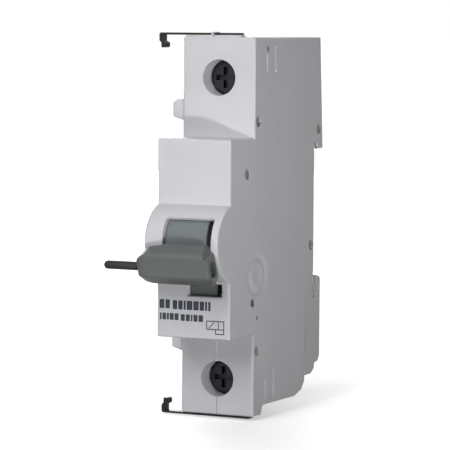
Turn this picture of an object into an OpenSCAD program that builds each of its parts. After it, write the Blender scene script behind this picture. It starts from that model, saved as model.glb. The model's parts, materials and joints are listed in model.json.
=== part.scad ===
// One-module shunt trip for a miniature circuit breaker, shown switched off.
// X runs across the module, Y from front to back and Z up. The origin lies on the rail's front
// face, at the middle of the module's width and of the rail's height.

/* [Housing] */
// Width of the module
module_w = 18; // [17.6:0.1:18.6]
// Thickness of the housing walls
wall = 1.6; // [1.2:0.1:1.8]
// Height of the top above the rail's middle
body_top = 42.2; // [41.5:0.1:44]
// Depth of the underside below the rail's middle
body_bottom = 40.1; // [39.8:0.1:42]
// How far the front edge of the underside hangs below the rest
skirt_drop = 2.2; // [1.5:0.1:3]
// Front to back size of that edge
skirt_deep = 4.5; // [4:0.1:6]
// Distance of the terminal faces in front of the rail
term_face = 32; // [31.5:0.1:33.5]
// Distance of the nose in front of the rail
nose_face = 44; // [43.5:0.1:45]
// Height of the nose's top above the rail's middle
nose_top = 20; // [18:0.1:22.5]
// Depth of the nose's bottom below the rail's middle
nose_bottom = 24; // [22.5:0.1:25]
// Diameter of the rivets that close the housing
rivet_d = 1.6; // [1.2:0.1:2]

/* [Rail seat] */
// Height of the mounting rail
rail_h = 35; // [34.8:0.1:35.2]
// Thickness of the rail's flanges
rail_t = 1; // [0.9:0.1:1.2]
// How far the fixed lip hooks over the rail
lip_catch = 1.1; // [0.8:0.1:1.4]
// How far the fixed lip reaches behind the rail's front face
lip_back = 4.6; // [3.8:0.1:5.5]
// How far the top corner reaches behind the rail's front face
top_back = 2.9; // [2.5:0.1:4]
// Height of the lower end of the rail seat, below the rail's middle
seat_end = 12.2; // [11.5:0.1:12.5]

/* [Rail clip] */
// How far the clip hooks over the rail
clip_catch = 4.5; // [4:0.1:4.8]
// How far the clip reaches behind the rail's front face
clip_back = 3.75; // [3:0.05:4.5]
// Depth of the clip's foot below the rail's middle
clip_foot = 36; // [35:0.1:36]
// Travel of the clip when it is pulled down
clip_travel = 5; // [4.8:0.1:5.2]
// Width of the tongue that guides the clip
tongue_w = 5.2; // [4:0.1:6]

/* [Toggle] */
// Distance of the toggle's axis in front of the rail
toggle_y = 41.3; // [41:0.1:42]
// Depth of the toggle's axis below the rail's middle
toggle_drop = 2.9; // [2.5:0.1:3.4]
// Radius of the two cheeks beside the toggle
cheek_r = 8.9; // [8.5:0.1:9.2]
// Radius of the toggle's drum
drum_r = 7.9; // [7.6:0.1:8]
// Distance of the drum's left end from the parting plane
drum_left = 4.3; // [4:0.1:4.5]
// Distance of the drum's right end from the parting plane
drum_right = 5.7; // [5.4:0.1:5.8]
// Width of the handle bar
handle_w = 17.8; // [16:0.1:17.8]
// Height of the handle bar
handle_h = 9.8; // [9.2:0.1:10.4]
// Depth of the handle bar
handle_deep = 4.7; // [4.4:0.1:5.2]
// Angle of the handle below the horizontal when off
toggle_rest = 25; // [23:1:27]
// Angle that the toggle swings through
toggle_swing = 50; // [46:1:52]
// Diameter of the toggle's axle
toggle_axle_d = 3; // [2.4:0.1:3.4]
// Diameter of the coupling pin in the handle
pin_d = 1.9; // [1.6:0.1:2.2]
// Length of the coupling pin outside the handle
pin_out = 9; // [7:0.1:9.6]

/* [Window] */
// Width of the indicator window
window_w = 8.5; // [7:0.1:8.7]
// Height of the indicator window
window_h = 2.9; // [2.4:0.1:3.2]
// Height of the window's middle below the rail's middle
window_drop = 13.2; // [13:0.1:14]

/* [Terminals] */
// Height of the upper screw above the rail's middle
upper_z = 33.2; // [33:0.1:33.6]
// Depth of the lower screw below the rail's middle
lower_z = 34.2; // [33.8:0.1:34.4]
// Diameter of the screwdriver holes
hole_d = 8; // [7.6:0.1:8.4]
// Diameter of the screw's head
head_d = 7.2; // [6.4:0.1:7.3]
// Diameter of the screw's shank
screw_d = 4.8; // [4:0.1:5]
// Depth of the screw's head below the terminal face
head_deep = 3.5; // [3:0.1:4]
// Width of the terminal cages
cage_w = 10; // [9.4:0.1:10.4]
// Height of the terminal cages
cage_h = 8; // [7:0.1:8]
// Largest wire that a cage takes
wire_max = 5.6; // [5.2:0.1:6]
// Travel of a cage when its screw is tightened
clamp_travel = 5; // [4:0.1:5]
// Thickness of the terminal bars
bar_t = 1.2; // [1:0.1:1.5]

/* [Solenoid] */
// Distance of the coil's axis in front of the rail
coil_y = 12.2; // [12:0.1:12.6]
// Diameter of the coil
coil_d = 12.4; // [11.6:0.1:12.8]
// Height of the coil
coil_h = 23; // [21:0.1:24]
// Height of the coil's lower end below the rail's middle
coil_drop = 8; // [7.5:0.1:8.4]
// Diameter of the plunger
plunger_d = 6.3; // [5.6:0.1:6.6]
// Stroke of the plunger
stroke = 4; // [3.6:0.1:4]

/* [Trip lever] */
// Distance of the lever's axis in front of the rail
trip_y = 23.3; // [23:0.1:23.6]
// Depth of the lever's axis below the rail's middle
trip_drop = 21.2; // [21:0.1:21.6]
// Distance from the lever's axis to its pin
trip_r = 9.8; // [9.4:0.1:10]
// Diameter of the pin
trip_pin_d = 1.8; // [1.5:0.1:2]
// Angle that the lever swings through
trip_swing = 18; // [14:1:18]
// Length of the pin outside the left housing
trip_pin_out = 2.5; // [2:0.1:3]

/* [Coupling] */
// Width of the coupling clips
strip_w = 2.2; // [2:0.1:3]
// Thickness of the coupling clips
strip_t = 0.5; // [0.45:0.05:0.9]
// Distance that the upper hook reaches beyond the housing
hook_out = 6.4; // [5.6:0.1:6.8]
// Distance that a lug stands out of the left housing
lug_out = 2.9; // [2:0.1:3.2]

/* [Fits] */
// Room between a moving piece and what it passes
gap = 0.3; // [0.2:0.05:0.35]
// Room round a pin or axle in its bore
fit = 0.05; // [0.03:0.01:0.08]

/* [Hidden] */
$fn = 48;
eps = 0.01;
far = 100;
tube_sides = 6;
turn_rings = 12;

// Housing
half_w = module_w / 2;
inner_x = half_w - wall;
body_step = body_bottom - wall;
corner_deep = 5;
corner_h = 2.9;
inner_corner = 2;
boss_r = rivet_d / 2 + 1.1;
rivet_head_d = rivet_d + 0.8;
rivet_head_t = 0.6;
rivet_sink = 0.9;
nose_wall_y = nose_face - wall;
rivet_spots = [
  [1.7 - term_face, nose_top + 3.6],
  [1.8 - term_face, -nose_bottom - 3.6],
  [8.3 - nose_face, nose_top - 7.9],
  [-wall - boss_r + 1.5, -seat_end + 6.5],
  [top_back - 1, rail_h / 2 + 3.6],
];
axle_seat = 0.8;

// Rail seat
rail_half = rail_h / 2;
lip_z = rail_half - lip_catch;
groove_z = rail_half + 0.4;
groove_y = rail_t + 0.3;
seat_relief = 0.2;
clip_plane = 4.5;

// Rail clip
clip_face = clip_plane - gap + 0.1;
clip_rest = 0.05;
clip_top = rail_half - clip_catch;
tongue_top = clip_top + 3;
tongue_len = 11;
tongue_t = 1.5;
clip_spring_len = 7;
clip_spring_wire = 0.4;
chamber_y = clip_plane + wall + gap + tongue_t;
ledge_z = tongue_top + tongue_len + clip_spring_len;

// Toggle
toggle_at = [-toggle_y, -toggle_drop];
cavity_r = drum_r + gap;
slot_left = drum_left + 0.2;
slot_right = inner_x;
slot_up = toggle_swing - toggle_rest + 15;
slot_down = toggle_rest + 20;
neck_t = 3.2;
handle_in = cheek_r + 0.45;
handle_round = 1.2;
handle_up = 0.3;
brow_up = 3.2;
brow_in = 0.5;
brow_left = 1;
brow_right = drum_right + 1.9;
shoulder_left = drum_left - 0.7;
shoulder_up = 4.4;
chin_down = 0.8;
left_end_up = 3.6;
right_end_up = 3.1;
end_cut = 1.2;
end_rise = 2.5;
pin_set = 2.25;
handle_mid = handle_in + pin_set;
coupling_at = toggle_at + polar(handle_mid, 180 + toggle_rest);
coupling_seat = 6;
coupling_root_d = pin_d - 0.6;
toggle_spring_wire = 0.5;
toggle_spring_r = toggle_axle_d / 2 + 0.8;
spring_room = toggle_spring_r + toggle_spring_wire / 2 + gap;

// Link, contact arm and contacts
link_pin_d = 1.1;
link_t = 0.5;
link_x0 = drum_right + 0.35;
link_x1 = link_x0 + link_t;
link_r = 4.8;
link_at = toggle_at + polar(link_r, 95);
arm_back = 14.8;
arm_up = 13.4;
arm_at = toggle_at + [arm_back, arm_up];
arm_r = 9.5;
arm_rest = 17;
arm_half = 2;
arm_len = 15;
arm_x0 = 3;
arm_x1 = drum_right + 0.1;
arm_axle_d = 2;
arm_hole_at = arm_at + polar(arm_r, -90 - arm_rest);
link_play = 0.65;
link_room = 0.25;
link_side = 0.1;
blade_t = 0.6;
blade_w = 2.4;
blade_start = 3;
tip_d = 3;
tip_t = 0.8;
tip_drop = 13.4;
arm_swing = 0.46 * toggle_swing;
arm_x = (arm_x0 + arm_x1) / 2;
fixed_tip_at = arm_at + turn([arm_half + blade_t + tip_t, -tip_drop], arm_swing - arm_rest);
fixed_tip_face = fixed_tip_at[0] + tip_d / 2 * sin(arm_swing - arm_rest) + 0.1;
braid_d = 1;
lead_d = 0.9;

// Flag
window_x0 = -1.5;
flag_r = 7.9;
flag_t = 0.9;
flag_at = [gap - nose_wall_y + flag_r, -window_drop];
flag_half = 13;
flag_over = 1;
flag_x0 = 2.4;
flag_x1 = 5;
flag_axle_d = 1.6;

// Trip lever
trip_at = [-trip_y, -trip_drop];
trip_t = 4;
trip_hub_r = 2.6;
trip_axle_d = 2;
trip_rest = 158;
trip_pin_at = trip_at + polar(trip_r, trip_rest);
trip_pad_r = 1.4;
trip_slot_w = trip_pin_d + 2 * gap;

// Solenoid
coil_z0 = -coil_drop;
coil_z1 = coil_z0 + coil_h;
flange_t = 1;
tube_t = 0.95;
yoke_t = 1.4;
yoke_x = inner_x - 0.1;
yoke_back = coil_y - coil_d / 2 - 0.6 - yoke_t;
core_h = 10.4;
plunger_z0 = coil_z0 - yoke_t + core_h + stroke;
plunger_spring_len = stroke + 2;
plunger_spring_wire = 0.5;
cap_z = coil_z1 + yoke_t + plunger_spring_len;
cap_t = 1.2;
cap_d = plunger_d + 2;
rod_d = 2;
rod_tip = coil_z0 - yoke_t - 4.6;
pad_top = rod_tip - 0.8;

// Terminals
head_t = 2.8;
bar_w = 6.8;
bar_up = 3.4;
bar_down = 8;
ear_h = 3.2;
cage_t = 1.4;
cage_front_t = 1.8;
cage_rest = 0.6;
head_back = term_face - head_deep - head_t;
cage_front = head_back - clamp_travel - 1.1;
bar_front = cage_front - cage_front_t - cage_rest;
bar_back = bar_front - bar_t;
cage_back = bar_back - wire_max - cage_t;
entry_w = 7.4;
entry_round = 0.4;
entry_front = bar_back - 0.2;
entry_back = bar_back - wire_max + 0.2;
collar_t = 1.3;
collar_back = term_face - wall - 3;
partition_t = 1.2;
partition_gap = 0.4;

// Coupling clips and lugs
strip_y0 = term_face - 0.6;
strip_y1 = strip_y0 - strip_w;
strip_room = 0.05;
strip_pad = 0.4;
top_strip_end = half_w - 4.2;
low_strip_end = half_w - 1.3;
low_hook_less = 1;
bridge_x = -1.8;
bridge_w = 0.6;
bridge_t = 0.12;
bridge_room = 0.05;
bridge_side = 0.1;
bridge_end = bridge_side + 0.4;
bridge_back = bridge_end - strip_y1;
hook_w = 0.9;
hook_step = 0.5;
hook_drop = 2.9;
hook_bend = 1.3;
hook_cut = 0.3;
lug_h = 4.8;
lug_y = term_face - 2.2;
lug_deep = 2.6;
upper_lug_rise = 3.5;
lower_lug_drop = 4.5;
upper_lug_z = nose_top + upper_lug_rise;
lower_lug_z = -nose_bottom - lower_lug_drop;

// Points in the side view are [y, z]
function polar(r, a) = [r * cos(a), r * sin(a)];
function turn(p, a) = [p[0] * cos(a) - p[1] * sin(a), p[0] * sin(a) + p[1] * cos(a)];
function outward(p, q) = [q[1] - p[1], p[0] - q[0]] / norm(q - p);
function unit(v) = v / norm(v);

// Extrudes a side view across the module, from x0 to x1
module across(x0, x1) {
  translate([x0, 0, 0]) rotate([90, 0, 90]) linear_extrude(x1 - x0) children();
}

// Extrudes a front view from y0, in front, back to y1
module deep(y0, y1) {
  translate([0, y1, 0]) rotate([90, 0, 0]) linear_extrude(y1 - y0) children();
}

// A round bar across the module at a point of the side view
module bar_across(at, d, x0, x1) {
  across(x0, x1) translate(at) circle(d = d);
}

// A convex outline, given anticlockwise, grown by r with round corners
module rounded(points, r) {
  n = len(points);
  sides = [for (i = [0:n - 1]) let (p = points[i], q = points[(i + 1) % n]) [p, q, r * outward(p, q)]];
  polygon([for (s = sides) each [s[0] + s[2], s[1] + s[2]]]);
  for (p = points) translate(p) circle(r);
}

module rounded_rect(x0, y0, x1, y1, r) {
  rounded([[x0 + r, y0 + r], [x1 - r, y0 + r], [x1 - r, y1 - r], [x0 + r, y1 - r]], r);
}

// A bar with round ends from p to q
module capsule(p, q, r) {
  step = q - p;
  translate(p) rotate(atan2(step[1], step[0])) {
    translate([0, -r]) square([norm(step), 2 * r]);
    circle(r);
    translate([norm(step), 0]) circle(r);
  }
}

// Skin over rings of points that follow each other along a tube
module tube_skin(points, sides) {
  last = len(points) - sides;
  skin = [
    for (a = [0:last - 1])
      let (b = a % sides == sides - 1 ? a + 1 - sides : a + 1)
        each [[a, a + sides, b], [b, a + sides, b + sides]]
  ];
  ends = [for (j = [1:sides - 2]) each [[0, j, j + 1], [last, last + j + 1, last + j]]];
  polyhedron(points, concat(skin, ends));
}

// A coil spring that stands on the origin, of mean radius r
module coil_spring(r, wire_d, length, turns) {
  rings = turns * turn_rings;
  tube_skin([
    for (i = [0:rings], j = [0:tube_sides - 1])
      let (a = i * 360 / turn_rings, b = j * 360 / tube_sides, s = r + wire_d / 2 * cos(b))
        [s * cos(a), s * sin(a), wire_d / 2 + (length - wire_d) * i / rings + wire_d / 2 * sin(b)]
  ], tube_sides);
}

// A bent lead through points that never run straight across the module
module lead(points, d) {
  last = len(points) - 1;
  tube_skin([
    for (i = [0:last])
      let (
        along = unit(points[min(i + 1, last)] - points[max(i - 1, 0)]),
        u = unit(cross([1, 0, 0], along)),
        v = cross(u, along)
      )
        for (j = [0:tube_sides - 1])
          let (b = j * 360 / tube_sides) points[i] + d / 2 * (u * cos(b) + v * sin(b))
  ], tube_sides);
}

// The housing's side view
module body_outline() {
  polygon([
    [-term_face, body_top],
    [-term_face, nose_top],
    [-nose_face, nose_top],
    [-nose_face, -nose_bottom],
    [-term_face, -nose_bottom],
    [-term_face, -body_bottom - skirt_drop],
    [skirt_deep - term_face, -body_bottom - skirt_drop],
    [skirt_deep + 0.5 - term_face, -body_bottom],
    [-clip_plane - corner_deep, -body_bottom],
    [-clip_plane - corner_deep / 3, corner_h / 3 - body_bottom],
    [-clip_plane, corner_h - body_bottom],
    [-clip_plane, -seat_end],
    [0, -seat_end],
    [0, lip_z - seat_relief],
    [-seat_relief, lip_z - seat_relief],
    [-seat_relief, groove_z],
    [groove_y, groove_z],
    [groove_y, lip_z],
    [lip_back, lip_z],
    [top_back, body_top],
  ]);
}

// The hollow inside the housing's side view
module inner_outline() {
  polygon([
    [wall - term_face, body_top - wall],
    [wall - term_face, nose_top - wall],
    [-nose_wall_y, nose_top - wall],
    [-nose_wall_y, wall - nose_bottom],
    [wall - term_face, wall - nose_bottom],
    [wall - term_face, -body_step],
    [-clip_plane - wall - inner_corner, -body_step],
    [-clip_plane - wall, inner_corner - body_step],
    [-clip_plane - wall, wall - seat_end],
    [-seat_relief - wall, wall - seat_end],
    [-seat_relief - wall, groove_z + wall],
    [top_back - wall, groove_z + wall],
    [top_back - wall, body_top - wall],
  ]);
}

// The slot that the toggle swings in
module toggle_slot() {
  translate(toggle_at)
    polygon([[0, 0], polar(far, 180 - slot_up), [-far, 0], polar(far, 180 + slot_down)]);
}

// The curved slot that the trip pin moves in
module trip_slot() {
  margin = asin(trip_slot_w / 2 / trip_r);
  low = trip_rest + margin;
  high = trip_rest - trip_swing - margin;
  translate(trip_at) intersection() {
    difference() {
      circle(trip_r + trip_slot_w / 2);
      circle(trip_r - trip_slot_w / 2);
    }
    polygon([[0, 0], polar(far, low), polar(far, high)]);
  }
}

// What both half shells carry round a terminal; s is 1 for the upper one and -1 for the lower
module terminal_seat(z, s) {
  // Collar round the screwdriver hole
  translate([0, -collar_back, z])
    rotate([90, 0, 0])
      cylinder(r = hole_d / 2 + collar_t, h = term_face - wall / 2 - collar_back);
  // Shelf between the terminal and the works, which also holds the bar's ears
  shelf = z - s * (cage_h / 2 + partition_gap + partition_t / 2);
  translate([0, wall / 2 - term_face, shelf - partition_t / 2])
    cube([half_w - wall / 2, term_face - wall / 2 - chamber_y - gap, partition_t]);
  // Rail beside the cage
  translate([cage_w / 2 + gap, -head_back, z - 1.5])
    cube([inner_x - cage_w / 2, head_back - cage_back, 3]);
}

module terminal_cuts(z, s) {
  translate([0, -collar_back + eps, z]) rotate([90, 0, 0]) cylinder(d = hole_d, h = far);
  // Slot for the bar and its ears
  bar_low = min(z, z - s * (bar_down + 1));
  translate([-eps, -bar_front - 0.1, bar_low])
    cube([inner_x + eps, bar_t + 0.2, bar_down + 1]);
}

// Chute that leads the wire into a cage
module wire_chute(z0, z1) {
  translate([0, -entry_front - wall, z0])
    cube([entry_w / 2 + wall, entry_front - entry_back + 2 * wall, z1 - z0]);
}

module wire_entry(z0, z1) {
  translate([0, 0, z0])
    linear_extrude(z1 - z0)
      rounded_rect(-entry_w / 2, -entry_front, entry_w / 2, -entry_back, entry_round);
}

// The shape that both half shells share, on the right of the parting plane; the toggle's slot is
// slot_x wide and the pad under the upper coupling clip pad_x long
module half_shell(slot_x, pad_x) {
  upper_cage_top = upper_z + cage_h / 2;
  difference() {
    union() {
      difference() {
        across(0, half_w) {
          body_outline();
          translate(toggle_at) circle(cheek_r);
        }
        across(-eps, inner_x) inner_outline();
        across(-eps, slot_x) translate(toggle_at) circle(cavity_r);
        across(-eps, inner_x) translate(toggle_at) circle(spring_room);
      }
      intersection() {
        across(0, half_w) body_outline();
        union() {
          terminal_seat(upper_z, 1);
          terminal_seat(-lower_z, -1);
          wire_chute(upper_cage_top + partition_gap, body_top);
          across(0, half_w - wall / 2) for (p = rivet_spots) translate(p) circle(boss_r);
          // Ribs behind the solenoid
          for (z = [coil_z0 + 5, coil_z1 - 6])
            translate([2, -yoke_back + 0.1, z]) cube([inner_x - 1, yoke_back - 0.1, 1.6]);
          // Ledge under the rail clip's spring
          translate([0, -chamber_y - 0.2, -ledge_z - 1.2])
            cube([tongue_w / 2 + 1, chamber_y - clip_plane, 1.2]);
        }
      }
    }
    terminal_cuts(upper_z, 1);
    terminal_cuts(-lower_z, -1);
    wire_entry(upper_cage_top, far);
    wire_entry(-far, cage_h / 2 - lower_z);
    across(-eps, slot_x) toggle_slot();
    across(-eps, far) for (p = rivet_spots) translate(p) circle(d = rivet_d + 2 * fit);
    across(half_w - rivet_sink, far)
      for (p = rivet_spots) translate(p) circle(d = rivet_head_d + 2 * fit);
    // Blind seats of the axles
    across(inner_x - eps, inner_x + axle_seat + 0.1) {
      translate(toggle_at) circle(d = toggle_axle_d + 2 * fit);
      translate(arm_at) circle(d = arm_axle_d + 2 * fit);
      translate(flag_at) circle(d = flag_axle_d + 2 * fit);
      translate(trip_at) circle(d = trip_axle_d + 2 * fit);
    }
    // Slot for the rail clip's tongue
    translate([-eps, -chamber_y, -tongue_top - tongue_len - clip_travel - gap])
      cube([tongue_w / 2 + gap, chamber_y, tongue_len + clip_travel + 2 * gap]);
  }
  // Pad under the upper coupling clip
  translate([0, -strip_y0, body_top - eps]) cube([pad_x, strip_w, strip_pad + eps]);
}

// Cuts in the nose that are not the same on both sides
module nose_cuts() {
  translate([window_x0, -nose_face - eps, -window_drop - window_h / 2])
    cube([window_w, wall + 1, window_h]);
  translate([-half_w + 0.7, -nose_face - eps, 8.3]) cube([module_w - 2.8, 0.12, 0.25]);
}

module coupling_lug(z) {
  tip = -half_w - lug_out;
  deep(-lug_y - lug_deep / 2, -lug_y + lug_deep / 2)
    polygon([
      [-half_w + eps, z + lug_h],
      [tip + 1, z + lug_h],
      [tip, z + lug_h - 0.8],
      [tip, z + 1],
      [tip + 0.6, z + 0.6],
      [-half_w + eps, z],
    ]);
}

// Staple over a coupling clip that lies rise away from the housing's end at z = 0; it reaches
// forward from its back foot
module clip_staple(rise, reach) {
  inner = rise + strip_room + strip_t + bridge_room;
  root = 0.2;
  difference() {
    translate([bridge_x - bridge_w / 2, bridge_back - reach, -root])
      cube([bridge_w, reach, inner + bridge_t + root]);
    translate([-far / 2, -strip_y0 - bridge_side, rise - eps])
      cube([far, strip_w + 2 * bridge_side, inner - rise + eps]);
  }
}

module left_housing() {
  color("lightgray") {
    difference() {
      mirror([1, 0, 0]) half_shell(slot_left, half_w);
      nose_cuts();
      across(-far, eps - inner_x) trip_slot();
    }
    coupling_lug(upper_lug_z);
    coupling_lug(lower_lug_z);
    translate([0, 0, body_top]) clip_staple(strip_pad, strip_w + 2 * bridge_end);
    // The lower one is a hook that shows from behind only
    translate([0, 0, -body_bottom - skirt_drop])
      mirror([0, 0, 1]) clip_staple(0, strip_w / 2 + bridge_end);
  }
}

module right_housing() {
  groove_w = 0.9;
  groove_deep = 0.5;
  front_groove = 5.6 - term_face;
  back_groove = 10 - term_face;
  // Place along the side, lower end and height of each groove
  grooves = [
    [front_groove, upper_z + 1.2, 4],
    [back_groove, upper_z + 1.2, 5.9],
    [front_groove, -lower_z - 5, 4.8],
    [back_groove, -lower_z - 5.5, 7.2],
  ];
  dimple_at = [front_groove + groove_w, upper_z + 6.5];
  dimple_d = 1.3;
  dimple_deep = 1.1;
  ring_at = [2.1 - term_face, 2.5 - window_drop];
  ring_r = 5.4;
  ring_w = 2;
  ring_deep = 0.4;
  test_hole_at = trip_pin_at + [-0.2, 0.8];
  test_hole_d = 1.9;
  vent_at = test_hole_at + [2.4, -3.5];
  vent_d = 1;
  color("gainsboro") difference() {
    half_shell(slot_right, top_strip_end + 0.3);
    nose_cuts();
    // Pairs of grooves beside the terminals
    across(half_w - groove_deep, far)
      for (g = grooves) translate([g[0], g[1]]) square([groove_w, g[2]]);
    // Ring groove, and the hole that shows the trip pin
    across(half_w - ring_deep, far) translate(ring_at) difference() {
      circle(ring_r);
      circle(ring_r - ring_w);
    }
    across(inner_x - eps, far) translate(test_hole_at) circle(d = test_hole_d);
    across(half_w - dimple_deep, far) {
      translate(vent_at) circle(d = vent_d);
      translate(dimple_at) circle(d = dimple_d);
    }
  }
}

module housing_rivets() {
  under_head = half_w - rivet_sink + 0.02;
  color("dimgray") for (p = rivet_spots) {
    bar_across(p, rivet_d, -under_head - eps, under_head + eps);
    bar_across(p, rivet_head_d, under_head, under_head + rivet_head_t);
    bar_across(p, rivet_head_d, -under_head - rivet_head_t, -under_head);
  }
}

module din_clip() {
  clip_half = half_w - 0.1;
  slot_z = clip_foot - 4.2;
  color("darkgray") {
    difference() {
      across(-clip_half, clip_half)
        polygon([
          [-clip_face, -seat_end - clip_rest],
          [-0.15, -seat_end - clip_rest],
          [-0.15, -rail_half - 0.5],
          [groove_y, -rail_half - 0.5],
          [groove_y, -clip_top],
          [clip_back - 0.7, -clip_top - 0.4],
          [clip_back, -clip_top - 1.2],
          [clip_back, -clip_foot + 4.3],
          [clip_back - 1.1, -clip_foot + 2.8],
          [0.7, -clip_foot + 2.5],
          [0.6, -clip_foot + 1.3],
          [-1.2, -clip_foot + 0.1],
          [-clip_face, -clip_foot],
        ]);
      // Hollow back of the moulding
      translate([-clip_half + 2, 0.9, -slot_z + 1.4])
        cube([2 * clip_half - 4, far, slot_z - rail_half - 4]);
      // Screwdriver slot in the foot
      translate([-3.2, -1.4 - clip_face / 2, -clip_foot - eps]) cube([6.4, 1.2, 4]);
    }
    // Tongue and head that slide in the housing
    translate([-tongue_w / 2, -clip_plane - wall - gap, -tongue_top - tongue_len])
      cube([tongue_w, clip_plane + wall + gap - clip_face + eps, tongue_len]);
    translate([-tongue_w / 2 - 2, -chamber_y, -tongue_top - tongue_len])
      cube([tongue_w + 4, tongue_t, tongue_len]);
  }
}

module din_clip_spring() {
  color("silver")
    translate([0, -chamber_y + tongue_t / 2, -ledge_z + 0.1])
      coil_spring(tongue_t / 2, clip_spring_wire, clip_spring_len - 0.2, 5);
}

// Front view of a coupling strip, with its hook bent down and stepped in at the left end
module strip_outline(left_end, right_end) {
  tip = left_end + hook_step;
  polygon([
    [right_end, 0],
    [right_end, strip_t],
    [left_end + hook_cut, strip_t],
    [left_end, strip_t - hook_cut],
    [left_end, -hook_bend],
    [tip, -hook_bend - hook_step],
    [tip, -hook_drop],
    [tip + hook_w, -hook_drop],
    [tip + hook_w + hook_cut, hook_cut - hook_drop],
    [tip + hook_w + hook_cut, -hook_bend - hook_step],
    [left_end + hook_w, -hook_bend],
    [left_end + hook_w, 0],
  ]);
}

module top_coupling_clip() {
  color([0.1, 0.1, 0.1])
    translate([0, 0, body_top + strip_pad + strip_room])
      deep(-strip_y0, -strip_y1) strip_outline(-half_w - hook_out, top_strip_end);
}

module bottom_coupling_clip() {
  color([0.1, 0.1, 0.1])
    translate([0, 0, -body_bottom - skirt_drop - strip_room])
      deep(-strip_y0, -strip_y1)
        mirror([0, 1]) strip_outline(low_hook_less - half_w - hook_out, low_strip_end);
}

// The toggle's own frame: x points along the handle and y below it
module toggle_frame() {
  translate(toggle_at) rotate(180 + toggle_rest) children();
}

module handle_outline() {
  r = handle_round;
  low = handle_h / 2 - r;
  front = handle_in + handle_deep - r;
  rounded([
    [handle_in + r, -low - handle_up],
    [front - brow_in, -brow_up],
    [front, chin_down],
    [handle_in + r, low - handle_up],
  ], r);
}

// The handle bar, whose top is drawn in to the drum's width
module handle() {
  top = handle_h / 2 + handle_up;
  side = handle_w / 2;
  // The lower right corner, and the slope that cuts it off
  corner = [side - end_cut, handle_up - handle_h / 2];
  slope = [end_cut, end_rise];
  intersection() {
    across(-side, side) toggle_frame() handle_outline();
    translate([0, toggle_at[0], toggle_at[1]])
      rotate([toggle_rest, 0, 0])
        deep(-far, 0)
          polygon([
            [-side - 1, corner[1] - end_rise],
            corner - slope,
            corner + 2 * slope,
            [corner[0] + 2 * end_cut, right_end_up],
            [brow_right + 0.4, right_end_up],
            [brow_right, top],
            [brow_right, top + 1],
            [-brow_left, top + 1],
            [-brow_left, top],
            [-shoulder_left, shoulder_up],
            [-side, left_end_up],
            [-side - 1, left_end_up],
          ]);
  }
}

module toggle() {
  hole_w = 2.4;
  seat_end_x = coupling_seat + fit - handle_w / 2;
  color([0.38, 0.41, 0.4]) difference() {
    union() {
      across(-drum_left, drum_right) {
        translate(toggle_at) circle(drum_r);
        toggle_frame() translate([0, -neck_t / 2]) square([handle_in + 1, neck_t]);
      }
      handle();
    }
    bar_across(toggle_at, toggle_axle_d + 2 * fit, -half_w, half_w);
    bar_across(link_at, link_pin_d + 2 * fit, drum_right - 2.4, half_w);
    // Seat of the coupling pin, and the socket for the next module's pin
    bar_across(coupling_at, coupling_root_d + 2 * fit, -handle_w / 2 - 1, seat_end_x);
    across(handle_w / 2 - 3, handle_w / 2 + 1)
      toggle_frame() capsule([handle_mid, -0.6], [handle_mid, 0.6], hole_w / 2);
  }
}

module toggle_axle() {
  reach = inner_x + axle_seat;
  color("silver") bar_across(toggle_at, toggle_axle_d, -reach, reach);
}

module coupling_pin() {
  root = coupling_seat - handle_w / 2;
  tip = -handle_w / 2 - pin_out;
  color("dimgray") {
    bar_across(coupling_at, pin_d, tip + pin_d / 2, -handle_w / 2 - 0.02);
    bar_across(coupling_at, coupling_root_d, tip + pin_d, root);
    translate([tip + pin_d / 2, coupling_at[0], coupling_at[1]]) sphere(d = pin_d);
  }
}

module toggle_spring() {
  room = inner_x - drum_left - 0.4;
  color("silver") {
    translate([-inner_x + 0.2, toggle_at[0], toggle_at[1]])
      rotate([0, 90, 0]) coil_spring(toggle_spring_r, toggle_spring_wire, room, 2);
  }
}

module toggle_link() {
  color("silver") {
    across(link_x0, link_x1) capsule(link_at, arm_hole_at, link_pin_d / 2 + 0.35);
    bar_across(link_at, link_pin_d, drum_right - 2, link_x1 - eps);
    bar_across(arm_hole_at, link_pin_d, arm_x0 + 0.6, link_x1 - eps);
  }
}

// The contact arm's own frame: y points up along the arm when it hangs straight
module arm_frame() {
  translate(arm_at) rotate(-arm_rest) children();
}

module contact_arm() {
  color("saddlebrown") difference() {
    across(arm_x0, arm_x1) arm_frame() capsule([0, 0], [0, -arm_len], arm_half);
    bar_across(arm_at, arm_axle_d + 2 * fit, 0, half_w);
    // Slot for the link, longer than its pin so that the arm and link stay free
    across(0, half_w)
      arm_frame()
        capsule([link_side, -arm_r], [link_side, link_play - arm_r], link_pin_d / 2 + link_room);
  }
}

module contact_arm_axle() {
  reach = inner_x + axle_seat;
  color("silver") bar_across(arm_at, arm_axle_d, -reach, reach);
}

module moving_contact() {
  color("peru")
    across(arm_x - blade_w / 2, arm_x + blade_w / 2)
      arm_frame() translate([arm_half + 0.02, -arm_len]) square([blade_t, arm_len - blade_start]);
}

module moving_contact_tip() {
  color("whitesmoke")
    translate([arm_x, arm_at[0], arm_at[1]])
      rotate([-arm_rest, 0, 0])
        translate([0, arm_half + blade_t + 0.03, -tip_drop])
          rotate([-90, 0, 0]) cylinder(d = tip_d, h = tip_t - 0.03);
}

module fixed_contact() {
  front = fixed_tip_face + tip_t;
  top = fixed_tip_at[1] + tip_d;
  foot = bar_down - lower_z + 0.05;
  color("peru") across(arm_x - blade_w / 2, arm_x + blade_w / 2) {
    translate([front, foot]) square([blade_t, top - foot]);
    translate([front, foot]) square([-bar_back - front, blade_t]);
  }
}

module fixed_contact_tip() {
  color("whitesmoke")
    translate([arm_x, fixed_tip_face, fixed_tip_at[1]])
      rotate([-90, 0, 0]) cylinder(d = tip_d, h = tip_t - 0.02);
}

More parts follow.
